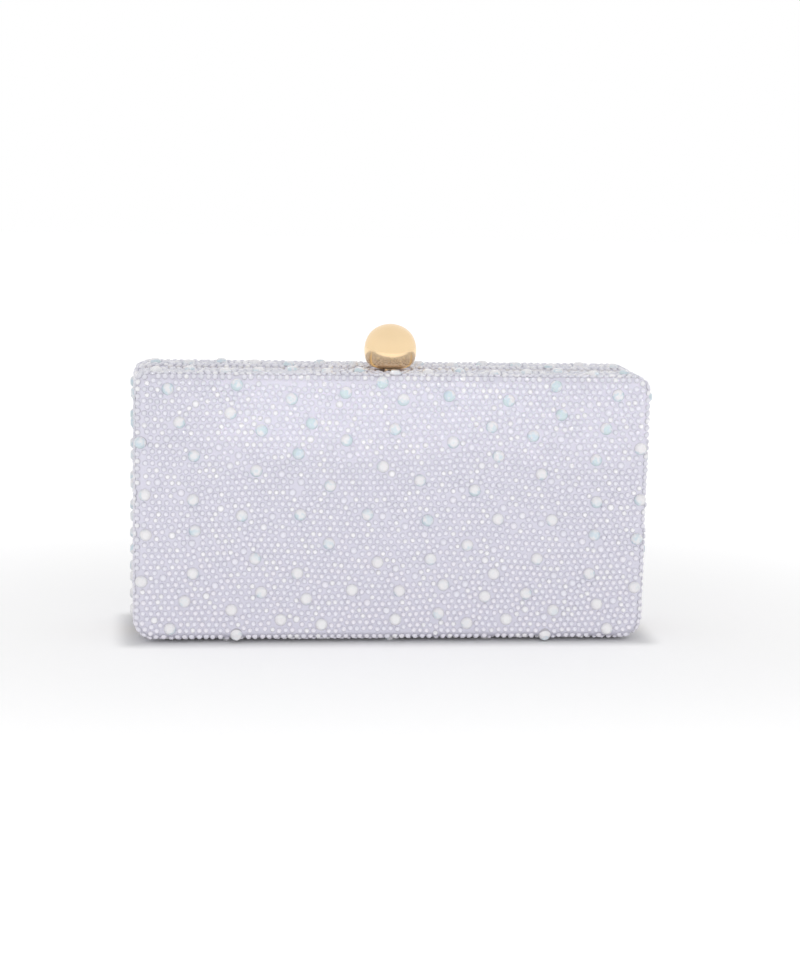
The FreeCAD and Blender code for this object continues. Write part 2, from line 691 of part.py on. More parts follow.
def make_spring(rivet):
    """C-shaped leaf spring: fixed under the bracket's plate, its free end over the lever's tail."""
    body = doc.addObject("PartDesign::Body", "spring_strip")
    sketch = new_sketch(body, "spring_profile", "YZ_Plane")
    bend_y = "(dims.spring_front + dims.spring_run)"
    low = f"({TAIL_TOP} + dims.spring_gap)"
    outer = f"({PLATE_BASE} - {low}) / 2"
    inner = f"({outer} - dims.spring_thickness)"
    bend_z = f"({PLATE_BASE} + {low}) / 2"
    start, bend, tip = size("dims.spring_front"), size(bend_y), size("dims.spring_tip")
    middle, r_out, r_in = size(bend_z), size(outer), size(inner)
    line(sketch, (bend, middle + r_out, 0), (start, middle + r_out, 0))
    line(sketch, (start, middle + r_out, 0), (start, middle + r_in, 0))
    line(sketch, (start, middle + r_in, 0), (bend, middle + r_in, 0))
    arc(sketch, (bend, middle, 0), r_in, -RIGHT_ANGLE, RIGHT_ANGLE)
    line(sketch, (bend, middle - r_in, 0), (tip, middle - r_in, 0))
    line(sketch, (tip, middle - r_in, 0), (tip, middle - r_out, 0))
    line(sketch, (tip, middle - r_out, 0), (bend, middle - r_out, 0))
    arc(sketch, (bend, middle, 0), r_out, -RIGHT_ANGLE, RIGHT_ANGLE)
    for first, second in ((0, 1), (1, 2), (4, 5), (5, 6)):
        tie(sketch, "Coincident", first, 2, second, 1)
    for first, first_end, second, second_end in ((2, 2, 3, 2), (3, 1, 4, 1), (6, 2, 7, 1), (7, 2, 0, 1)):
        tie(sketch, "Tangent", first, first_end, second, second_end)
    tie(sketch, "Coincident", 3, 3, 7, 3)
    tie(sketch, "Horizontal", 0)
    tie(sketch, "Vertical", 1)
    tie(sketch, "Vertical", 5)
    bind(sketch, "DistanceX", (-1, 1, 7, 3), bend_y)
    bind(sketch, "DistanceY", (-1, 1, 7, 3), bend_z)
    bind(sketch, "Radius", (7,), outer)
    bind(sketch, "Radius", (3,), inner)
    bind(sketch, "DistanceX", (-1, 1, 1, 1), "dims.spring_front")
    bind(sketch, "DistanceX", (-1, 1, 5, 1), "dims.spring_tip")
    pad_across(body, "spring_pad", sketch, "dims.spring_width")
    keep("clasp_spring", cut("clasp_spring", body, [rivet]))


def make_keeper(rivets):
    """Bent plate under the front half's top, with the lip that the nose catches."""
    body = doc.addObject("PartDesign::Body", "keeper_blank")
    lip_front = "-(dims.arm_reach - dims.keeper_gap)"
    lip_rear = f"({lip_front} + dims.plate_thickness)"
    far = f"({lip_rear} - dims.keeper_length)"
    lip_base = f"{PIVOT_Z} + dims.nose_rise + dims.catch_clearance"
    profile = side_profile(body, "keeper_profile", [
        (far, CEILING),
        (far, PLATE_BASE),
        (lip_front, PLATE_BASE),
        (lip_front, lip_base),
        (lip_rear, lip_base),
        (lip_rear, CEILING),
    ])
    pad_across(body, "keeper_pad", profile, "dims.keeper_width")
    keep("keeper", cut("keeper", body, rivets))


def make_clasp():
    """The whole clasp, and the rivets that pierce each half's top."""
    stem = make_stem()
    make_knob(stem)
    make_lever(stem)
    bracket_y = "dims.bracket_front + dims.bracket_rivet_setback"
    bracket_rivets = plate_rivet_pair("bracket_rivet", "dims.bracket_rivet_spacing", bracket_y)
    keep("bracket_rivets", group("bracket_rivets", bracket_rivets))
    spring_seat = f"({PLATE_BASE} - dims.spring_thickness)"
    spring_rivet = keep("spring_rivet", plate_rivet("spring_rivet", "0", bracket_y, spring_seat))
    pin_span = (ear_x_span(LEFT)[0], ear_x_span(RIGHT)[1])
    pin = keep("clasp_pivot_pin",
               cross_rod("clasp_pivot_pin", pin_span, "0", PIVOT_Z, "dims.pivot_pin_diameter / 2"))
    make_bracket(bracket_rivets + [spring_rivet], pin)
    make_spring(spring_rivet)
    keeper_y = "-(dims.arm_reach - dims.keeper_gap) - dims.keeper_rivet_setback"
    keeper_rivets = plate_rivet_pair("keeper_rivet", "dims.keeper_rivet_spacing", keeper_y)
    keep("keeper_rivets", group("keeper_rivets", keeper_rivets))
    make_keeper(keeper_rivets)
    return {FRONT: keeper_rivets, REAR: bracket_rivets + [spring_rivet]}


# Large and medium stones


def stone(kind):
    """Flat-back stone on the XY plane: a ring of facets from the girdle up to the table."""
    girdle = size(f"dims.{kind}_stone_diameter / 2")
    sides = STONE_FACET_COUNT[kind]
    rings = []
    turns = [2 * math.pi * corner / sides for corner in range(sides)]
    for radius, rise in ((girdle, 0), (girdle * TABLE_SHARE, size(f"dims.{kind}_stone_height"))):
        ring = [FreeCAD.Vector(radius * math.cos(turn), radius * math.sin(turn), rise) for turn in turns]
        rings.append(ring)
    low, high = rings
    facets = [[low[corner - 1], low[corner], high[corner], high[corner - 1]] for corner in range(sides)]
    faces = [Part.Face(Part.makePolygon(ring + ring[:1])) for ring in [low[::-1], *facets, high]]
    return Part.Solid(Part.Shell(faces))


def panel_place(pixel):
    """X and height on the front panel at a pixel: the panel's right edge is the farther one."""
    x, y = pixel
    left_height = PANEL_BASE_LEFT_PIXEL[1] - PANEL_TOP_LEFT_PIXEL[1]
    right_height = PANEL_BASE_RIGHT_PIXEL[1] - PANEL_TOP_RIGHT_PIXEL[1]
    up_share = (PANEL_BASE_LEFT_PIXEL[1] - y) / left_height
    left = PANEL_BASE_LEFT_PIXEL[0] + up_share * (PANEL_TOP_LEFT_PIXEL[0] - PANEL_BASE_LEFT_PIXEL[0])
    right = PANEL_BASE_RIGHT_PIXEL[0] + up_share * (PANEL_TOP_RIGHT_PIXEL[0] - PANEL_BASE_RIGHT_PIXEL[0])
    seen_share = (x - left) / (right - left)
    across_share = seen_share * left_height
    across_share /= across_share + (1 - seen_share) * right_height
    base_y = PANEL_BASE_LEFT_PIXEL[1] + across_share * (PANEL_BASE_RIGHT_PIXEL[1] - PANEL_BASE_LEFT_PIXEL[1])
    up_share = (base_y - y) / (left_height + across_share * (right_height - left_height))
    width = size("dims.case_width")
    return (across_share * width - width / 2, size(CASE_BASE) + up_share * size("dims.case_height"))


def edge_turn(place, limit, radius):
    """How far the rounded edge has turned at a place near it, as a sine from -1 to 1."""
    past = abs(place) - (limit - radius)
    return math.copysign(min(max(past, 0) / radius, 1), place)


def on_face(sign, x, z):
    """A spot on the front or rear face, following the rounded edges: place and outward direction."""
    radius = size("dims.face_edge_radius")
    middle = size(f"{CASE_BASE} + dims.case_height / 2")
    sine_x = edge_turn(x, size("dims.case_width / 2"), radius)
    sine_z = edge_turn(z - middle, size("dims.case_height / 2"), radius)
    level = math.sqrt(max(1 - sine_x ** 2 - sine_z ** 2, 0))
    out = FreeCAD.Vector(sine_x, sign * level, sine_z).normalize()
    depth = size(HALF_DEPTH) - radius + radius * level
    return FreeCAD.Vector(x, sign * depth, z), out


def large_face_places():
    return [panel_place(pixel) for pixel in LARGE_STONE_PIXELS]


def medium_face_places():
    """A medium stone wanders in each cell of a grid on the panel, unless a large one is in its way."""
    inset = size("dims.base_corner_radius")
    wide, high = size("dims.case_width") - 2 * inset, size("dims.case_height") - 2 * inset
    left, low = -wide / 2, size(CASE_BASE) + inset
    spacing = size("dims.medium_stone_spacing")
    columns, rows = round(wide / spacing), round(high / spacing)
    room = size("(dims.large_stone_diameter + dims.medium_stone_diameter) / 2 + dims.stone_margin")
    places = []
    for cell in range(columns * rows):
        across_share = (cell % columns + cell * WANDER_SHARE % 1) / columns
        up_share = (cell // columns + cell * CROSS_SHARE % 1) / rows
        place = (left + across_share * wide, low + up_share * high)
        if all(math.dist(place, large) > room for large in large_face_places()):
            places.append(place)
    return places


FACE_PLACES = {"large": large_face_places, "medium": medium_face_places}


def face_spots(sign, kind):
    """The panel's stones; the rear face carries the same layout, turned about the upright."""
    return [on_face(sign, -sign * x, z) for x, z in FACE_PLACES[kind]()]


def strip_rows(kind, count, first, last):
    """Places along a strip with a wandering share across it; medium stones lie midway between large ones."""
    step = (last - first) / (count - 1)
    if kind == "large":
        return [(first + row * step, (row + 1) * WANDER_SHARE % 1) for row in range(count)]
    rows = [row + MIDWAY_SHARE for row in range(count - 1)]
    return [(first + row * step, (row + 1) * CROSS_SHARE % 1) for row in rows]


def strip_places(sign, kind, count, first, last):
    """Places along a strip of the case's side, kept clear of the rim's and the face's roundings."""
    girdle = size(f"dims.{kind}_stone_diameter / 2 + dims.stone_margin")
    near = size(f"{RIM} + dims.rim_edge_radius") + girdle
    far = size(f"{HALF_DEPTH} - dims.face_edge_radius") - girdle
    rows = strip_rows(kind, count, first, last)
    return [(place, sign * (near + share * (far - near))) for place, share in rows]


def level_ends(corner_radius):
    end = size(f"dims.case_width / 2 - {corner_radius} - dims.large_stone_diameter / 2")
    return -end, end


def top_spots(sign, kind):
    """Stones of the top, clear of the ball over its swing."""
    clear = size(f"dims.knob_width / 2 + dims.{kind}_stone_diameter")
    places = strip_places(sign, kind, TOP_STONES, *level_ends("dims.top_corner_radius"))
    top = size(CASE_TOP)
    return [
        (FreeCAD.Vector(x, y, top), FreeCAD.Vector(0, 0, 1))
        for x, y in places
        if math.hypot(x, y) > clear
    ]


def side_spots(sign, kind):
    first = size(f"{CASE_BASE} + dims.base_corner_radius + dims.large_stone_diameter / 2")
    last = size(f"{CASE_TOP} - dims.top_corner_radius - dims.large_stone_diameter / 2")
    reach = size("dims.case_width / 2")
    return [
        (FreeCAD.Vector(side * reach, y, z), FreeCAD.Vector(side, 0, 0))
        for side in (LEFT, RIGHT)
        for z, y in strip_places(sign, kind, SIDE_STONES, first, last)
    ]


def base_spots(sign):
    places = strip_places(sign, "large", BASE_STONES, *level_ends("dims.base_corner_radius"))
    return [(FreeCAD.Vector(x, y, size(CASE_BASE)), FreeCAD.Vector(0, 0, -1)) for x, y in places]


def set_stones(name, kind, spots):
    pattern = stone(kind)
    copies = []
    for place, out in spots:
        copy = pattern.copy()
        copy.Placement = FreeCAD.Placement(place, FreeCAD.Rotation(FreeCAD.Vector(0, 0, 1), out))
        copies.append(copy)
    feature = doc.addObject("Part::Feature", name)
    feature.Shape = Part.makeCompound(copies)
    feature.Placement = FreeCAD.Placement()
    keep(name, feature)


def make_stones(sign):
    half = HALF_NAMES[sign]
    for kind in STONE_FACET_COUNT:
        spots = face_spots(sign, kind) + top_spots(sign, kind) + side_spots(sign, kind)
        set_stones(f"{half}_{kind}_stones", kind, spots)
    set_stones(f"{half}_base_stones", "large", base_spots(sign))


def make_half(sign, hinge_rivets, top_rivets):
    slot = stem_slot(f"{HALF_NAMES[sign]}_stem_slot")
    make_cover(sign, slot)
    make_shell(sign, slot, hinge_rivets + top_rivets)
    make_lining(sign, slot, top_rivets)
    make_frame(sign, slot)
    make_stones(sign)


def write_parts():
    """Checks every object, then writes one file for each node."""
    doc.recompute()
    failed = [item.Label for item in doc.Objects if "Invalid" in item.State or "Error" in item.State]
    failed += [name for name, piece in nodes.items() if piece.Shape.isNull() or not piece.Shape.isValid()]
    if failed:
        raise RuntimeError(f"these did not build: {failed}")
    os.makedirs("parts", exist_ok=True)
    for name, piece in nodes.items():
        piece.Shape.exportStep(f"parts/{name}.step")


hinge_rivet_sets = make_hinges()
top_rivet_sets = make_clasp()
for half_sign in (FRONT, REAR):
    make_half(half_sign, hinge_rivet_sets[half_sign], top_rivet_sets[half_sign])
write_parts()
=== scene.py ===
"""Looks of the crystal-set box clutch: satin, stones, gilt fittings, floor, light and camera."""

import math
import random

import bmesh
import bpy
from mathutils import Matrix, Vector
from mathutils.bvhtree import BVHTree
from mathutils.kdtree import KDTree


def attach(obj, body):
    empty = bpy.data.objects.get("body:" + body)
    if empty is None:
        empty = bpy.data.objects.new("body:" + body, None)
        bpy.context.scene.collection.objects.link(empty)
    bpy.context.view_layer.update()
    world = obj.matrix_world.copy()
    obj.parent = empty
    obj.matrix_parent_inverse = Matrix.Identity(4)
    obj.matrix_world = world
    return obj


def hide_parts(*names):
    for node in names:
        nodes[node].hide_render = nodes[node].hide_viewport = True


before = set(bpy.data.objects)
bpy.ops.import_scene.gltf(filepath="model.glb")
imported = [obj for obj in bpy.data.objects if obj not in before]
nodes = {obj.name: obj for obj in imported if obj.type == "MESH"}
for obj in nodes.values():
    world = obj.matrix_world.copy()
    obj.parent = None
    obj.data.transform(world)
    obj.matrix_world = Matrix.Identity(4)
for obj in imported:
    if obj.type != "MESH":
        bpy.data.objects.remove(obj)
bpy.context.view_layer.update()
scene = bpy.context.scene

# All lengths are in metres. The front half is on the -Y side.
HALVES = {"front": -1, "rear": 1}
SEEDS = {"front": 11, "rear": 29}
CASE_HALF_WIDTH = 0.095
CASE_HALF_DEPTH = 0.023
CASE_BASE = 0.0019
CASE_TOP = 0.0999
WELD = 1e-6

# Diameters and heights of the stones
SMALL = 0.0022
MEDIUM = 0.0029
MEDIUM_HEIGHT = 0.0011
LARGE = 0.0047
LARGE_HEIGHT = 0.0019

# Cut of the stones: facets round, height as a share of the width, girdle as a share of the height,
# then each tier's radius as a share of the width and its top as a share of the height
CUTS = {
    SMALL: (8, 0.42, 0.2, [(0.42, 0.65), (0.28, 1.0)]),
    MEDIUM: (10, MEDIUM_HEIGHT / MEDIUM, 0.2, [(0.42, 0.65), (0.28, 1.0)]),
    LARGE: (12, LARGE_HEIGHT / LARGE, 0.22, [(0.41, 0.70), (0.27, 1.0)]),
}

# Depth of a stone's cement below the skin, as a share of the stone's width
CEMENT = 0.3

# Upward part of a normal from which a facet is the table, and up to which it is the girdle
TABLE_UP = 0.95
GIRDLE_UP = 0.1

# Ranks of the girdle and of the steepest crown facets, which set their painted shade: the lower the
# rank, the darker the facet. The table's rank is 1 and takes none.
GIRDLE_RANK = 0.1
CROWN_RANK = 0.65

# Rows of small stones. A wave has radians per metre along the rows and up the rows.
PITCH = 0.00262
ROW_SHARE = 0.866
ROW = PITCH * ROW_SHARE
WANDER = 0.00045
FOLD_WANDER = 0.0002
SWAY = 0.0013
WAVES_ALONG = ((0, 95), (61, 40))
WAVES_UP = ((83, 0), (37, -70))

# How small stones settle side by side. A free stone takes its share of the push between two.
GAP = 0.00026
TIGHT_GAP = 0.00012
OVERLAPS = (0.0007, 0.0003, 0.00015)
SETTLE_TURNS = 9
FREE_PUSH = 0.45
FILL_TURNS = 8

# Least distances of a stone's middle from the parting plane and from the ball's axis
RIM_CLEAR = 0.0039
BASE_RIM_CLEAR = 0.0052
BALL_CLEAR = 0.0097

# Parts of the skin's normal from which it counts as top or base, and as the face
LEVEL_UP = 0.5
FACE_ON = 0.7

# How small stones vary: share of their width, lean in radians, and how far all sink into the skin
SLACK = 0.05
LEAN = 0.035
SINK = 0.00006

# Tint with painted shade, painted glint, and fire with painted reflection of the stones. A pair is the
# value at the base and its gain up to the top.
TINT_AND_PAINTED_SHADE = (0.9, -0.62)
TINT_SPREAD = 0.3
# Painted glints: a power below 1 high on the case gives more of them there.
PAINTED_GLINT_POWER = (1.0, -0.35)
# Opal fire with painted reflection: bluer high on the case and on downward facets, with a painted white
# glint on one side.
FIRE_AND_PAINTED_REFLECTION = (0.22, 0.5)
PAINTED_REFLECTION_DOWN = (0.12, 0.4)
PAINTED_GLINT_SIDE = (0.1, 0.25)
FIRE_SPREAD = 0.12
MOODS = (-0.25, 0.15)

# The ball's bore for its stem, a little over size, and the steps of its turning
STEM_BORE = 0.0013
STEM_BORE_TOP = 0.112
BALL_STEPS = 96

# Half the floor's width and depth, with no change of height, and its middle
FLOOR_HALF = (2.2, 1.6, 1.0)
FLOOR_MIDDLE = (0, 1.0, 0)

# Strength of the surroundings as light on the object. They show at strength 1.
ROOM_LIGHT = 0.7


# Shader nodes


class Thread:
    """One output in a node tree. Arithmetic on it adds Math nodes to that tree."""

    def __init__(self, tree, socket=None):
        self.tree = tree
        self.socket = socket

    def node(self, kind, settings=None, inputs=None, output=0):
        """Adds a node, gives it its settings and then its inputs, and returns one of its outputs."""
        made = self.tree.nodes.new(kind)
        for name, value in (settings or {}).items():
            if name == "stops":
                ramp = made.color_ramp.elements
                while len(ramp) < len(value):
                    ramp.new(1.0)
                for stop, (place, colour) in zip(ramp, value):
                    stop.position = place
                    stop.color = colour
            else:
                setattr(made, name, value)
        for name, value in (inputs or {}).items():
            if isinstance(value, Thread):
                self.tree.links.new(value.socket, made.inputs[name])
            else:
                made.inputs[name].default_value = value
        return Thread(self.tree, made.outputs[output] if made.outputs else None)

    def maths(self, operation, first, second):
        return self.node("ShaderNodeMath", {"operation": operation}, {0: first, 1: second})

    def __add__(self, other):
        return self.maths("ADD", self, other)

    def __radd__(self, other):
        return self.maths("ADD", other, self)

    def __mul__(self, other):
        return self.maths("MULTIPLY", self, other)

    def __rmul__(self, other):
        return self.maths("MULTIPLY", other, self)


def new_finish(name):
    """An empty material, and the thread that its nodes start from."""
    material = bpy.data.materials.new(name)
    material.use_nodes = True
    material.node_tree.nodes.clear()
    return material, Thread(material.node_tree)


def seal(start, inputs):
    """Ends a material with its surface shader."""
    shader = start.node("ShaderNodeBsdfPrincipled", None, inputs)
    start.node("ShaderNodeOutputMaterial", None, {"Surface": shader})


def place_on(start):
    """Place on the piece, in metres."""
    return start.node("ShaderNodeTexCoord", None, None, "Object")


def place_on_cut(start):
    """Place on a cloth as it was cut, in metres."""
    return start.node("ShaderNodeUVMap", {"uv_map": "cut"})


def face_value(start, name):
    """A value that the mesh carries on its faces."""
    return start.node("ShaderNodeAttribute", {"attribute_name": name}, None, "Fac")


def vector_maths(start, operation, inputs, output="Vector"):
    return start.node("ShaderNodeVectorMath", {"operation": operation}, inputs, output)


def blended(share, first, second):
    """Colour between two colours."""
    return share.node("ShaderNodeMix", {"data_type": "RGBA"}, {0: share, 6: first, 7: second}, 2)


def grain(start, place, scale=1.0, detail=2.0, stretch=(1.0, 1.0, 1.0)):
    """Noise from 0 to 1 on the given coordinates."""
    laid = start.node("ShaderNodeMapping", None, {"Vector": place, "Scale": stretch})
    return start.node("ShaderNodeTexNoise", None, {"Vector": laid, "Scale": scale, "Detail": detail})


def eased(value, low, high):
    """0 below low, 1 above high."""
    return value.node("ShaderNodeMapRange", {"interpolation_type": "SMOOTHSTEP"},
                      {"Value": value, "From Min": low, "From Max": high})


def bump(start, height, strength, distance):
    return start.node("ShaderNodeBump", None,
                      {"Height": height, "Strength": strength, "Distance": distance})


def satin_finish():
    """Pale lilac satin: fine floats along the width, a soft sheen and slow changes of tone."""
    material, start = new_finish("lilac_satin")
    cut = place_on_cut(start)
    floats = grain(start, cut, stretch=(900.0, 5200.0, 1.0))
    slubs = grain(start, cut, detail=1.0, stretch=(140.0, 900.0, 1.0))
    clouds = grain(start, cut, scale=38.0)
    tone = blended(clouds, (0.67, 0.655, 0.76, 1.0), (0.725, 0.71, 0.81, 1.0))
    colour = blended(floats * 0.35, tone, (0.79, 0.78, 0.855, 1.0))
    weave = floats * 0.7 + slubs * 0.3
    seal(start, {
        "Base Color": colour,
        "Metallic": 0.5,
        "Roughness": 0.24 + floats * 0.12,
        "Sheen Weight": 0.2,
        "Sheen Roughness": 0.4,
        "Sheen Tint": (0.92, 0.90, 1.0, 1.0),
        "Normal": bump(start, weave, strength=0.35, distance=0.00006),
    })
    return material


def lining_finish():
    """Lilac-grey lining cloth: plain weave, matt."""
    material, start = new_finish("lining_cloth")
    cut = place_on_cut(start)
    warp = grain(start, cut, detail=1.0, stretch=(3200.0, 700.0, 1.0))
    weft = grain(start, cut, detail=1.0, stretch=(700.0, 3200.0, 1.0))
    weave = warp * 0.5 + weft * 0.5
    clouds = grain(start, cut, scale=25.0, detail=3.0)
    tone = blended(clouds, (0.50, 0.465, 0.58, 1.0), (0.57, 0.535, 0.65, 1.0))
    seal(start, {
        "Base Color": blended(weave * 0.5, tone, (0.66, 0.63, 0.74, 1.0)),
        "Roughness": 0.72 + weave * 0.2,
        "Sheen Weight": 0.15,
        "Normal": bump(start, weave, strength=0.5, distance=0.0001),
    })
    return material


def crystal_finish():
    """Foil-backed crystals: pale table, greyer crown and dull girdle by painted shade, each with its own
    tint, greyer high on the case by painted shade, and a painted white glint on some.
    """
    material, start = new_finish("foiled_crystal")
    tint = face_value(start, "tint")
    flash = face_value(start, "flash")
    facet = face_value(start, "facet")
    # The tint picks the stone's colour; its part that changes with height is painted shade, greyer high
    # on the case.
    hue = start.node("ShaderNodeValToRGB", {"stops": [
        (0.0, (0.80, 0.805, 0.88, 1.0)),
        (0.35, (0.855, 0.85, 0.93, 1.0)),
        (0.7, (0.905, 0.895, 0.985, 1.0)),
        (1.0, (0.935, 0.91, 0.985, 1.0)),
    ]}, {"Fac": tint})
    haze = grain(start, place_on(start), scale=2600.0, detail=1.0)
    # Painted glint: the stones that flash most turn near white.
    painted_light = blended(eased(flash, 0.8, 0.92), hue, (0.965, 0.96, 0.985, 1.0))
    # Painted shade on the girdle: a dark colour, deeper on stones low on the case.
    girdle = blended(tint, (0.56, 0.55, 0.60, 1.0), (0.44, 0.43, 0.49, 1.0))
    seal(start, {
        # The rank blends that painted shade into the girdle and the crown.
        "Base Color": blended(facet, girdle, painted_light),
        "Metallic": eased(flash, 0.8, 1.0) * 0.25,
        "Roughness": 0.12 + haze * 0.14,
        "Coat Weight": 0.5 + flash * 0.5,
        "Coat Roughness": 0.05,
        "Coat IOR": 1.5,
    })
    return material


def opal_finish():
    """Large opal stones: milky, each facet with its own blue, white or pinkish fire, with painted
    reflection making them bluer high on the case and on downward facets, a painted white glint on one
    side of each stone, and painted shade on the girdle and lower crown.
    """
    material, start = new_finish("opal_stone")
    fire = face_value(start, "fire")
    facet = face_value(start, "facet")
    place = place_on(start)
    drift = eased(grain(start, place, scale=380.0), 0.36, 0.64)
    milk = grain(start, place, scale=1300.0)
    # The white end of the ramp shows the painted glint, the blue end the painted reflection.
    hue = start.node("ShaderNodeValToRGB", {"stops": [
        (0.0, (0.945, 0.945, 0.955, 1.0)),
        (0.15, (0.915, 0.89, 0.91, 1.0)),
        (0.36, (0.87, 0.88, 0.91, 1.0)),
        (0.6, (0.73, 0.81, 0.865, 1.0)),
        (0.85, (0.61, 0.75, 0.845, 1.0)),
        (1.0, (0.64, 0.78, 0.81, 1.0)),
    ]}, {"Fac": fire * (0.4 + drift * 1.1)})
    # Painted shade on the girdle and lower crown.
    edge = blended(eased(facet, 0.0, 0.5), (0.50, 0.48, 0.52, 1.0), hue)
    seal(start, {
        "Base Color": blended(milk * 0.25, edge, (0.87, 0.87, 0.895, 1.0)),
        "Metallic": 0.04,
        "Roughness": 0.1 + milk * 0.1,
        "Coat Weight": 0.9,
        "Coat Roughness": 0.04,
        "Coat IOR": 1.5,
    })
    return material


def polished_gold():
    """Mirror-polished gold plate with a trace of handling haze."""
    material, start = new_finish("polished_gold")
    place = place_on(start)
    haze = grain(start, place, scale=220.0, detail=4.0)
    hairs = grain(start, place, stretch=(900.0, 900.0, 9000.0))
    seal(start, {
        "Base Color": blended(haze, (0.92, 0.69, 0.42, 1.0), (0.95, 0.73, 0.46, 1.0)),
        "Metallic": 1.0,
        "Roughness": 0.16 + haze * 0.05,
        "Normal": bump(start, hairs, strength=0.04, distance=0.00002),
    })
    return material


def satin_gold():
    """Brushed gold plate of the frames and fittings, unevenly worn."""
    material, start = new_finish("brushed_gold")
    place = place_on(start)
    brush = grain(start, place, stretch=(260.0, 5200.0, 5200.0))
    wear = grain(start, place, scale=90.0, detail=4.0)
    tone = blended(wear, (0.74, 0.59, 0.38, 1.0), (0.87, 0.72, 0.49, 1.0))
    seal(start, {
        "Base Color": blended(brush * 0.3, tone, (0.95, 0.80, 0.55, 1.0)),
        "Metallic": 1.0,
        "Roughness": 0.2 + brush * 0.16,
        "Normal": bump(start, brush, strength=0.12, distance=0.00003),
    })
    return material


def spring_steel():
    """Tempered steel strip, blued grey with rolling marks."""
    material, start = new_finish("tempered_strip")
    place = place_on(start)
    roll = grain(start, place, stretch=(6000.0, 300.0, 300.0))
    temper = grain(start, place, scale=160.0, detail=3.0)
    seal(start, {
        "Base Color": blended(temper, (0.46, 0.46, 0.50, 1.0), (0.62, 0.61, 0.60, 1.0)),
        "Metallic": 1.0,
        "Roughness": 0.26 + roll * 0.14,
        "Normal": bump(start, roll, strength=0.1, distance=0.00002),
    })
    return material


def shell_board():
    """Pressed board of the trays: fibres and a matt face."""
    material, start = new_finish("pressed_board")
    place = place_on(start)
    fibre = grain(start, place, detail=3.0, stretch=(500.0, 500.0, 2200.0))
    patch = grain(start, place, scale=60.0, detail=3.0)
    tone = blended(patch, (0.50, 0.47, 0.48, 1.0), (0.62, 0.59, 0.60, 1.0))
    seal(start, {
        "Base Color": blended(fibre * 0.3, tone, (0.70, 0.67, 0.66, 1.0)),
        "Roughness": 0.75 + fibre * 0.15,
        "Normal": bump(start, fibre, strength=0.3, distance=0.0001),
    })
    return material


def shown_directly(start):
    """1 for what the camera sees, straight or in gloss or glass, and 0 for light on the object."""
    seen = [start.node("ShaderNodeLightPath", None, None, ray)
            for ray in ("Is Camera Ray", "Is Glossy Ray", "Is Transmission Ray")]
    return start.maths("MINIMUM", seen[0] + seen[1] + seen[2], 1.0)


def floor_finish():
    """Plain white sheet: it takes the object's shadow, and a painted glow, shown only straight and in
    gloss, lightens that shadow from a centimetre off the case and fades the sheet to full white further
    off.
    """
    material, start = new_finish("white_sheet")
    place = place_on(start)
    tooth = grain(start, place, scale=900.0)
    paper = blended(tooth, (0.88, 0.88, 0.88, 1.0), (0.90, 0.90, 0.90, 1.0))
    apart = vector_maths(start, "ABSOLUTE", {0: place})
    apart = vector_maths(start, "SUBTRACT", {0: apart, 1: (CASE_HALF_WIDTH, CASE_HALF_DEPTH, 0.0)})
    apart = vector_maths(start, "MAXIMUM", {0: apart, 1: (0.0, 0.0, 0.0)})
    off = vector_maths(start, "LENGTH", {0: apart}, "Value")
    # Painted light: the glow is nil at the case's foot, lightens its shadow within a centimetre and
    # whitens the sheet further off.
    painted_glow = eased(off, 0.0, 0.01) * 0.28 + eased(off, 0.03, 0.3) * 0.19
    plain = {"Base Color": paper, "Roughness": 0.9, "Specular IOR Level": 0.1}
    sheet = start.node("ShaderNodeBsdfPrincipled", None, plain)
    painted_light = start.node("ShaderNodeBsdfPrincipled", None,
                     {**plain, "Emission Color": painted_glow, "Emission Strength": 1.0})
    both = start.node("ShaderNodeMixShader", None, {0: shown_directly(start), 1: sheet, 2: painted_light})
    start.node("ShaderNodeOutputMaterial", None, {"Surface": both})
    return material


# Meshes


def add_piece(name, body, shape, material, slot):
    """Turns a bmesh into a piece of the object that rides on a CAD body."""
    mesh = bpy.data.meshes.new(name)
    shape.to_mesh(mesh)
    shape.free()
    mesh.materials.append(material)
    piece = bpy.data.objects.new(name, mesh)
    scene.collection.objects.link(piece)
    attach(piece, body)
    return piece


def welded(node):
    """A joined copy of a CAD node's loose triangles."""
    shape = bmesh.new()
    shape.from_mesh(nodes[node].data)
    bmesh.ops.remove_doubles(shape, verts=shape.verts, dist=WELD)
    shape.normal_update()
    return shape


def soften(piece, degrees):
    """Smooth shading that keeps flat faces flat."""
    piece.data.shade_smooth()
    piece.data.set_sharp_from_angle(angle=math.radians(degrees))
    weights = piece.modifiers.new("flat_faces", "WEIGHTED_NORMAL")
    weights.keep_sharp = True


def unroll(shape):
    """Lays a skin out flat as it was cut, in metres."""
    layer = shape.loops.layers.uv.new("cut")
    for face in shape.faces:
        out = face.normal
        for loop in face.loops:
            x, y, z = loop.vert.co
            turned = CASE_HALF_DEPTH - abs(y)
            if abs(out.y) >= max(abs(out.x), abs(out.z)):
                loop[layer].uv = (x, z)
            elif abs(out.z) >= abs(out.x):
                loop[layer].uv = (x, z + math.copysign(turned, z - CASE_TOP / 2))
            else:
                loop[layer].uv = (x + math.copysign(turned, x), z)


def glued_cloth(node, name, half, material, slot):
    """A cloth skin glued to its tray, in place of the CAD skin."""
    shape = welded(node)
    unroll(shape)
    piece = add_piece(name, f"{half}_half", shape, material, slot)
    soften(piece, degrees=40)
    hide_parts(node)


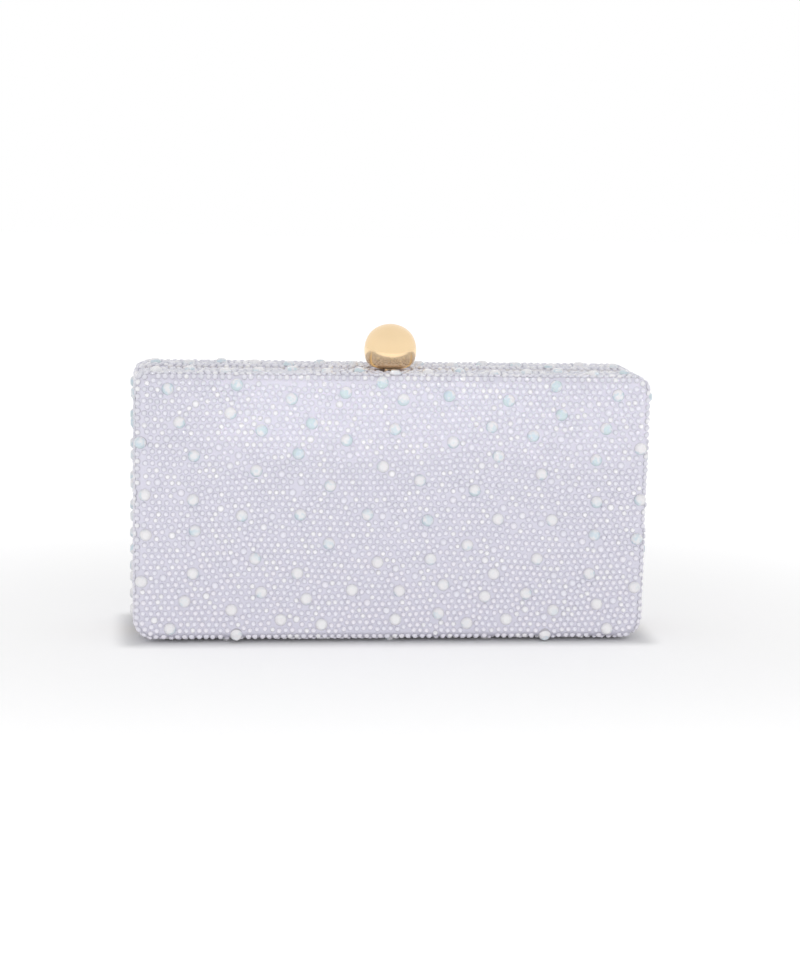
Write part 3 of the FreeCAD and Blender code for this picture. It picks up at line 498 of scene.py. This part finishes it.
def stone_pattern(sides, height, girdle, tiers):
    """A flat-back stone one unit wide on its cement: a girdle band, tiers of facets and a table."""
    shape = bmesh.new()
    bmesh.ops.create_circle(shape, cap_ends=True, segments=sides, radius=0.5)
    bmesh.ops.translate(shape, verts=shape.verts, vec=(0, 0, -CEMENT))
    top = shape.faces[:]
    for radius, rise in [(0.5, girdle)] + tiers:
        raised = bmesh.ops.extrude_face_region(shape, geom=top)["geom"]
        bmesh.ops.delete(shape, geom=top, context="FACES_ONLY")
        top = [part for part in raised if isinstance(part, bmesh.types.BMFace)]
        ring = [part for part in raised if isinstance(part, bmesh.types.BMVert)]
        size = max(vert.co.xy.length for vert in ring)
        bmesh.ops.scale(shape, verts=ring, vec=(radius / size, radius / size, 1.0))
        bmesh.ops.translate(shape, verts=ring, vec=(0, 0, rise * height - ring[0].co.z))
    bmesh.ops.recalc_face_normals(shape, faces=shape.faces)
    shape.normal_update()
    if max(shape.faces, key=lambda face: face.calc_center_median().z).normal.z < 0:
        bmesh.ops.reverse_faces(shape, faces=shape.faces)
    return shape


def painted_shade_rank(face):
    """Rank of a facet's painted shade, the share of its lit colour it keeps: 1 for the table, least for
    the girdle, between them for the crown by its slope.
    """
    if face.normal.z > TABLE_UP:
        return 1.0
    if face.normal.z < GIRDLE_UP:
        return GIRDLE_RANK
    return CROWN_RANK + (1.0 - CROWN_RANK) * face.normal.z


def stone_middles(node):
    """Middle of each separate stone in a CAD node."""
    shape = welded(node)
    shape.verts.ensure_lookup_table()
    seen = set()
    middles = []
    for first in shape.verts:
        if first.index in seen:
            continue
        seen.add(first.index)
        stone = [first]
        for vert in stone:
            for edge in vert.link_edges:
                other = edge.other_vert(vert)
                if other.index not in seen:
                    seen.add(other.index)
                    stone.append(other)
        middles.append(sum((vert.co for vert in stone), Vector()) / len(stone))
    shape.free()
    return middles


def sway(waves, phases, across, up):
    """How far a spot lies out of its straight row: the mean of two waves."""
    first, second = (math.sin(across * along_row + up * up_rows + phase)
                     for (along_row, up_rows), phase in zip(waves, phases))
    return SWAY * (first + second) / 2


def staggered(rng, left, right, low, high):
    """Spots in staggered, gently swaying rows, each a little out of line."""
    rows = max(1, round((high - low) / ROW))
    count = max(1, round((right - left) / PITCH))
    phases = [rng.uniform(0, math.tau) for _ in range(4)]
    for row in range(rows + 1):
        for place in range(count + 1 - row % 2):
            across = left + (place + row % 2 / 2) * (right - left) / count
            up = low + row * (high - low) / rows
            yield (across + sway(WAVES_ALONG, phases[:2], across, up) + rng.uniform(-WANDER, WANDER),
                   up + sway(WAVES_UP, phases[2:], across, up) + rng.uniform(-WANDER, WANDER))


def single_rows(rng, sign):
    """Single rows of spots along the folds round the face and along the rim."""
    wide, deep = CASE_HALF_WIDTH, CASE_HALF_DEPTH
    tall = CASE_TOP - CASE_BASE
    along = round(2 * wide / PITCH)
    upright = round(tall / PITCH)
    for y, z in ((deep, CASE_TOP), (deep, CASE_BASE),
                 (RIM_CLEAR, CASE_TOP), (BASE_RIM_CLEAR, CASE_BASE)):
        for step in range(1, along):
            x = -wide + 2 * wide * step / along + rng.uniform(-FOLD_WANDER, FOLD_WANDER)
            yield Vector((x, sign * y, z))
    for x, y in ((-wide, deep), (wide, deep), (-wide, RIM_CLEAR), (wide, RIM_CLEAR)):
        for step in range(1, upright):
            yield Vector((x, sign * y, CASE_BASE + tall * step / upright))


def face_rows(rng, sign, near):
    """Rows of spots over the five faces of a half, up to a distance from the folds."""
    wide, deep = CASE_HALF_WIDTH, CASE_HALF_DEPTH
    inner = deep - near
    for x, z in staggered(rng, -wide + near, wide - near, CASE_BASE + near, CASE_TOP - near):
        yield Vector((x, sign * deep, z))
    for x, y in staggered(rng, -wide, wide, RIM_CLEAR + ROW, inner):
        yield Vector((x, sign * y, CASE_TOP))
    for x, y in staggered(rng, -wide, wide, BASE_RIM_CLEAR + ROW, inner):
        yield Vector((x, sign * y, CASE_BASE))
    for side in (-wide, wide):
        for z, y in staggered(rng, CASE_BASE + near, CASE_TOP - near, RIM_CLEAR + ROW, inner):
            yield Vector((side, sign * y, z))


def has_room(place, out):
    """True where a stone is off the rims, the hinge's swing and the ball's seat."""
    if out.z < -LEVEL_UP and abs(place.y) < BASE_RIM_CLEAR - WELD:
        return False
    if out.z > LEVEL_UP and math.hypot(place.x, place.y) < BALL_CLEAR:
        return False
    return abs(place.y) > RIM_CLEAR - WELD


def need(first, second):
    """Distance at which two stones sit side by side."""
    return (first + second) / 2 + GAP


class Crowd:
    """Stones set so far, filed by cell so that neighbours are found quickly."""

    def __init__(self, stones=()):
        self.cells = {}
        for place, size in stones:
            self.add(place, size)

    def cell(self, place):
        return tuple(math.floor(value / LARGE) for value in place)

    def add(self, place, size):
        self.cells.setdefault(self.cell(place), []).append((place, size))

    def fits(self, place, size, gap):
        """True where a stone of that size stays the gap away from all others."""
        x, y, z = self.cell(place)
        near = (self.cells.get((x + i, y + j, z + k), ())
                for i in (-1, 0, 1) for j in (-1, 0, 1) for k in (-1, 0, 1))
        return all((place - other).length >= (size + taken) / 2 + gap
                   for stones in near for other, taken in stones)


def tree_of(places):
    """The places, filed so that neighbours are found quickly."""
    tree = KDTree(len(places))
    for index, place in enumerate(places):
        tree.insert(place, index)
    tree.balance()
    return tree


def settled(places, sizes, held, skin):
    """Pushes neighbouring stones apart over the skin. The first stones, held, stay where they are."""
    for _ in range(SETTLE_TURNS):
        tree = tree_of(places)
        moved = places[:held]
        for index in range(held, len(places)):
            place = places[index]
            push = Vector()
            for other, found, distance in tree.find_range(place, need(sizes[index], LARGE)):
                short = need(sizes[index], sizes[found]) - distance
                if found != index and short > 0 and distance > WELD:
                    push += (place - other) * (short / distance * (1.0 if found < held else FREE_PUSH))
            place = skin.find_nearest(place + push)[0]
            clear = BASE_RIM_CLEAR if place.z < CASE_BASE + WELD else RIM_CLEAR
            place.y = math.copysign(max(abs(place.y), clear), place.y)
            moved.append(place)
        places = moved
    return places


def thinned(stones, rows, overlap):
    """The rows without those that lie on other stones by more than an overlap."""
    crowd = Crowd(stones)
    kept = []
    for place in rows:
        if crowd.fits(place, SMALL, -overlap):
            crowd.add(place, SMALL)
            kept.append(place)
    return kept


def scatter(half, rng):
    """Place, outward direction and diameter of each stone of a half: the CAD's own, then small ones."""
    sign = HALVES[half]
    cover = welded(f"{half}_cover")
    skin = BVHTree.FromBMesh(cover)
    crowd = Crowd()
    chosen = []

    def place_stone(place, size, gap):
        """Sets a stone on the skin: always where no gap is given, or else where it fits."""
        spot, out, _, _ = skin.find_nearest(place)
        if gap is None or (crowd.fits(spot, size, gap) and has_room(spot, out)):
            crowd.add(spot, size)
            chosen.append((spot, out, size))

    for kind, size in (("large", LARGE), ("base", LARGE), ("medium", MEDIUM)):
        for middle in stone_middles(f"{half}_{kind}_stones"):
            place_stone(middle, size, None)
    for spot in single_rows(rng, sign):
        place_stone(spot, SMALL, TIGHT_GAP)
    held = [(place, size) for place, _, size in chosen]
    rows = [skin.find_nearest(spot)[0] for spot in face_rows(rng, sign, PITCH)]
    for overlap in OVERLAPS:
        rows = thinned(held, rows, overlap)
        places, sizes = zip(*held, *((place, SMALL) for place in rows))
        rows = settled(list(places), sizes, len(held), skin)[len(held):]
    for place in rows:
        place_stone(place, SMALL, -TIGHT_GAP)
    for turn in range(FILL_TURNS):
        for spot in face_rows(rng, sign, PITCH * turn / FILL_TURNS):
            place_stone(spot, SMALL, 0.0)
    cover.free()
    return chosen


def seat(place, out, size, askew, rng):
    """Where one stone sits: on the skin, turned at random and a touch askew."""
    lean = Matrix.Rotation(rng.gauss(0, askew), 4, "X") @ Matrix.Rotation(rng.gauss(0, askew), 4, "Y")
    spin = Matrix.Rotation(rng.uniform(0, math.tau), 4, "Z")
    upright = out.to_track_quat("Z", "Y").to_matrix().to_4x4()
    grown = Matrix.Diagonal((size, size, size, 1.0))
    return Matrix.Translation(place) @ upright @ lean @ spin @ grown


def clamped(value):
    """The value, held between 0 and 1."""
    return min(max(value, 0.0), 1.0)


def height_share(z):
    """0 at the base of the case and 1 at its top."""
    return (z - CASE_BASE) / (CASE_TOP - CASE_BASE)


def at_height(pair, share):
    """A value that changes evenly from the base of the case to its top."""
    base, gain = pair
    return base + gain * share


def tint_and_painted_shade_of(place, rng):
    """Tint of a crystal, random per stone, with painted shade: greyer stones high on the case, whiter
    ones low.
    """
    tint = at_height(TINT_AND_PAINTED_SHADE, height_share(place.translation.z))
    return clamped(tint + rng.uniform(-TINT_SPREAD, TINT_SPREAD))


def painted_glint_of(place, rng):
    """How strongly a crystal shows a painted white glint, under a stronger coat: more of them do so high
    on the case.
    """
    return rng.random() ** at_height(PAINTED_GLINT_POWER, clamped(height_share(place.translation.z)))


def fire_and_painted_reflection_of(face, place, mood, rng):
    """How blue a facet shows, random fire with painted reflection: bluer high on the case and facing
    down, bluer on one side of its stone and white by a painted glint on the other.
    """
    height = height_share(face.center.z)
    side = face.normal.dot(place.col[0].xyz.normalized())
    fire = at_height(FIRE_AND_PAINTED_REFLECTION, height) - at_height(PAINTED_REFLECTION_DOWN, height) * face.normal.z
    fire += at_height(PAINTED_GLINT_SIDE, height) * side
    return clamped(fire + mood + rng.uniform(-FIRE_SPREAD, FIRE_SPREAD))


def set_stones(name, half, pattern, seats, rng, material, slot):
    """All stones of one kind on one half as one piece, each with its own tint with painted shade,
    painted glint, and fire with painted reflection.
    """
    whole = bmesh.new()
    scratch = bpy.data.meshes.new("scratch")
    for place in seats:
        stone = pattern.copy()
        stone.transform(place)
        stone.to_mesh(scratch)
        whole.from_mesh(scratch)
        stone.free()
    bpy.data.meshes.remove(scratch)
    piece = add_piece(name, f"{half}_half", whole, material, slot)
    ranks = [painted_shade_rank(face) for face in pattern.faces]
    moods = [rng.uniform(*MOODS) for _ in seats]
    layers = {
        "facet": ranks * len(seats),
        "tint": [value for value in [tint_and_painted_shade_of(place, rng) for place in seats] for _ in ranks],
        "flash": [value for value in [painted_glint_of(place, rng) for place in seats] for _ in ranks],
        "fire": [fire_and_painted_reflection_of(face, seats[face.index // len(ranks)], moods[face.index // len(ranks)], rng)
                 for face in piece.data.polygons],
    }
    for layer, values in layers.items():
        piece.data.attributes.new(layer, "FLOAT", "FACE").data.foreach_set("value", values)
    return piece


def dress_half(half, satin, lining, crystal, opal):
    """Cloth and stones of one half."""
    glued_cloth(f"{half}_cover", f"{half}_satin", half, satin, "satin")
    glued_cloth(f"{half}_lining", f"{half}_lining_cloth", half, lining, "lining_fabric")
    rng = random.Random(SEEDS[half])
    groups = {"small": [], "edge": [], "medium": [], "opal": []}
    for place, out, size in scatter(half, rng):
        small_name = "small" if abs(out.y) > FACE_ON else "edge"
        groups[{LARGE: "opal", MEDIUM: "medium", SMALL: small_name}[size]].append((place, out, size))
    patterns = {size: stone_pattern(*cut) for size, cut in CUTS.items()}
    for name, cut_size, finish, slot, stands_for in (
            ("small", SMALL, crystal, "clear_crystal", ()),
            ("edge", SMALL, crystal, "clear_crystal", ()),
            ("medium", MEDIUM, crystal, "clear_crystal", ("medium",)),
            ("opal", LARGE, opal, "opal_stone", ("large", "base"))):
        slack, askew, sink = (0.0, 0.0, 0.0) if stands_for else (SLACK, LEAN, SINK)
        seats = [seat(place - out * sink, out, size * rng.uniform(1 - slack, 1 + slack), askew, rng)
                 for place, out, size in groups[name]]
        piece = set_stones(f"{half}_{name}_set", half, patterns[cut_size], seats, rng, finish, slot)
        if stands_for:
            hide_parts(*(f"{half}_{kind}_stones" for kind in stands_for))
    for pattern in patterns.values():
        pattern.free()


def turn_ball(material):
    """The ball of the clasp: its CAD half section, without the bore, spun to a mirror-smooth body."""
    spots = {(round(v.co.x, 6), round(v.co.z, 6)) for v in nodes["ball_knob"].data.vertices
             if abs(v.co.y) < WELD and v.co.x > -WELD}
    outline = sorted(((x, z) for x, z in spots if x > STEM_BORE or z > STEM_BORE_TOP),
                     key=lambda spot: (spot[1], -spot[0]))
    shape = bmesh.new()
    line = [shape.verts.new((x, 0, z)) for x, z in outline]
    edges = [shape.edges.new(pair) for pair in zip(line, line[1:])]
    bmesh.ops.spin(shape, geom=line + edges, cent=(0, 0, 0), axis=(0, 0, 1), dvec=(0, 0, 0),
                   angle=math.tau, steps=BALL_STEPS, use_merge=True)
    bmesh.ops.remove_doubles(shape, verts=shape.verts, dist=WELD)
    bmesh.ops.holes_fill(shape, edges=[edge for edge in shape.edges if edge.is_boundary])
    bmesh.ops.recalc_face_normals(shape, faces=shape.faces)
    piece = add_piece("gilt_ball", "clasp", shape, material, "polished_gold")
    soften(piece, degrees=35)
    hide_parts("ball_knob")


def coat_nodes(finishes):
    """Gives each CAD node that still shows its finish."""
    for name, node in nodes.items():
        if node.hide_render:
            continue
        if name.endswith("_shell"):
            finish = finishes["board"]
        elif name == "clasp_spring":
            finish = finishes["steel"]
        elif name == "ball_stem":
            finish = finishes["polished"]
        else:
            finish = finishes["gilt"]
        node.data.materials.clear()
        node.data.materials.append(finish)


# Studio


def lay_floor():
    """The white sheet under the case."""
    shape = bmesh.new()
    bmesh.ops.create_grid(shape, x_segments=4, y_segments=4, size=1.0)
    bmesh.ops.scale(shape, verts=shape.verts, vec=FLOOR_HALF)
    bmesh.ops.translate(shape, verts=shape.verts, vec=FLOOR_MIDDLE)
    mesh = bpy.data.meshes.new("floor")
    shape.to_mesh(mesh)
    shape.free()
    mesh.materials.append(floor_finish())
    floor = bpy.data.objects.new("floor", mesh)
    scene.collection.objects.link(floor)


def hang_lamp(name, place, aim, width, height, power, spread=180):
    """A soft box, or with a small spread, in degrees, a gridded one."""
    light = bpy.data.lights.new(name, "AREA")
    light.shape = "RECTANGLE"
    light.size = width
    light.size_y = height
    light.energy = power
    light.spread = math.radians(spread)
    lamp = bpy.data.objects.new(name, light)
    lamp.location = place
    lamp.rotation_mode = "QUATERNION"
    lamp.rotation_quaternion = (Vector(aim) - Vector(place)).to_track_quat("-Z", "Y")
    lamp.visible_camera = False
    lamp.visible_glossy = False
    scene.collection.objects.link(lamp)


def light_room():
    """Surroundings that show full white, straight and in gloss, but light the object less, and lamps."""
    world = bpy.data.worlds.new("white_room")
    world.use_nodes = True
    world.node_tree.nodes.clear()
    start = Thread(world.node_tree)
    strength = ROOM_LIGHT + shown_directly(start) * (1.0 - ROOM_LIGHT)
    way = start.node("ShaderNodeTexCoord", None, None, "Generated")
    up = start.node("ShaderNodeSeparateXYZ", None, {"Vector": way}, "Z")
    sky = blended(eased(up, 0.25, 1.0), (1.0, 1.0, 1.0, 1.0), (0.95, 0.95, 0.955, 1.0))
    back = start.node("ShaderNodeBackground", None, {"Color": sky, "Strength": strength})
    start.node("ShaderNodeOutputWorld", None, {"Surface": back})
    scene.world = world
    hang_lamp("overhead_box", place=(-0.1, 0.1, 1.2), aim=(0, 0, 0.05),
              width=0.9, height=0.7, power=0.35)
    hang_lamp("front_box", place=(-0.1, -0.9, 0.16), aim=(0, 0, 0.05),
              width=1.0, height=0.3, power=2.15)
    hang_lamp("gridded_strip", place=(0.04, -0.75, 0.105), aim=(0.04, 0, 0.09),
              width=0.22, height=0.02, power=0.0036, spread=4)


def stand_camera():
    """The photo's view: a long lens, a little left of the middle and a little above."""
    camera = bpy.data.objects.new("camera", bpy.data.cameras.new("camera"))
    camera.data.sensor_width = 36.0
    camera.data.lens = 82.657
    camera.location = (-0.09932, -0.83518, 0.19684)
    camera.rotation_euler = tuple(math.radians(turn) for turn in (80.386, -1.338, -6.888))
    camera.data.clip_end = 20.0
    scene.collection.objects.link(camera)
    scene.camera = camera


scene.view_settings.view_transform = "Standard"
satin = satin_finish()
lining = lining_finish()
crystal = crystal_finish()
opal = opal_finish()
stand_camera()
for half in HALVES:
    dress_half(half, satin, lining, crystal, opal)
polished = polished_gold()
turn_ball(polished)
coat_nodes({"board": shell_board(), "steel": spring_steel(), "polished": polished, "gilt": satin_gold()})
lay_floor()
light_room()
